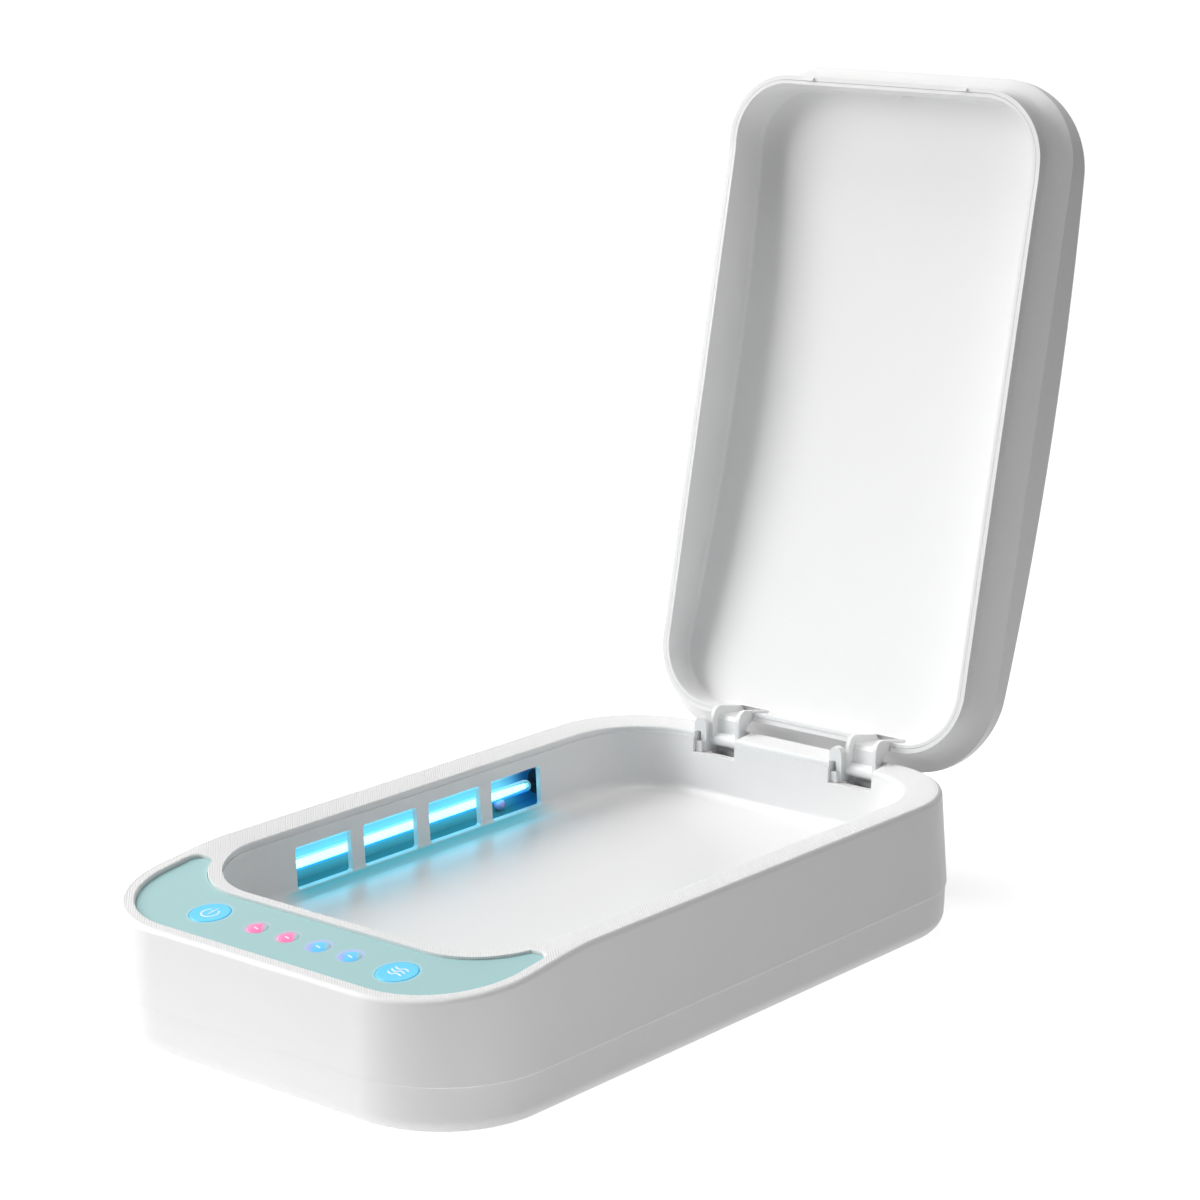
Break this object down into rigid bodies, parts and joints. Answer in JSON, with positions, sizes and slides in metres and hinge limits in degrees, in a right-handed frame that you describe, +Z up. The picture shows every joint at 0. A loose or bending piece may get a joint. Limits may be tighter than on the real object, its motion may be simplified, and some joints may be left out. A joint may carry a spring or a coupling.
{
  "type": "uv sterilizer",
  "caption": "Free-standing UV steriliser box: ribbed case with a lamp-lit tray, sloped aqua control crescent and a hinged dished lid.",
  "frame": {"origin": "on the table, under the middle of the case (the middle of its 135 by 228 mm outline)", "axes": "+X to the right of a person facing the control head, +Y from the control head to the hinge, +Z up; stored with the lid open on its stop"},
  "size_m": [0.135, 0.2815, 0.2347],
  "materials": {
    "case_white": "satin white, ribbed on the top band",
    "lid_white": "smooth satin white",
    "tray_white": "smooth satin white",
    "panel_aqua": "glossy pale aqua",
    "button_blue": "glossy light blue with white icons",
    "lens_pink": "glossy pink lens",
    "lens_blue": "glossy violet blue lens",
    "lamp_glass": "clear tube, lit",
    "sleeve_grey": "matte",
    "mirror_metal": "polished",
    "board_green": "satin solder mask",
    "switch_black": "matte",
    "led_clear": "clear",
    "carrier_white": "matte",
    "transformer_black": "matte with a taped winding",
    "capacitor_blue": "printed sleeve",
    "inlet_metal": "tin plated",
    "steel": "zinc plated",
    "rubber_grey": "matte"
  },
  "bodies": {
    "housing": {"upper_housing": "case_white", "bearing_posts": "case_white", "bottom_shell": "case_white", "rubber_feet": "rubber_grey", "case_screws": "steel", "tray_liner": "tray_white", "control_panel": "panel_aqua", "pink_lenses": "lens_pink", "blue_lenses": "lens_blue", "control_board": "board_green", "tact_switches": "switch_black", "indicator_leds": "led_clear", "board_carrier": "carrier_white", "left_lamp": "lamp_glass", "left_lamp_sleeves": "sleeve_grey", "left_mirror": "mirror_metal", "right_lamp": "lamp_glass", "right_lamp_sleeves": "sleeve_grey", "right_mirror": "mirror_metal", "driver_board": "board_green", "transformer": "transformer_black", "capacitors": "capacitor_blue", "power_inlet": "inlet_metal"},
    "lid": {"lid_shell": "lid_white", "lid_liner": "lid_white", "left_hinge_arm": "lid_white", "right_hinge_arm": "lid_white", "hinge_pins": "steel"},
    "power_button": {"power_button": "button_blue"},
    "wave_button": {"wave_button": "button_blue"}
  },
  "joints": [
    {"name": "lid_hinge", "type": "hinge", "parent": "housing", "child": "lid", "pos_m": [0, 0.10817, 0.03863], "axis": [1, 0, 0], "range_deg": [0, 102]},
    {"name": "power_press", "type": "slide", "parent": "housing", "child": "power_button", "axis": [0, 0.1191, -0.9929], "range_m": [0, 0.0005], "stiffness_N_per_m": 600},
    {"name": "wave_press", "type": "slide", "parent": "housing", "child": "wave_button", "axis": [0, 0.1191, -0.9929], "range_m": [0, 0.0005], "stiffness_N_per_m": 600}
  ]
}
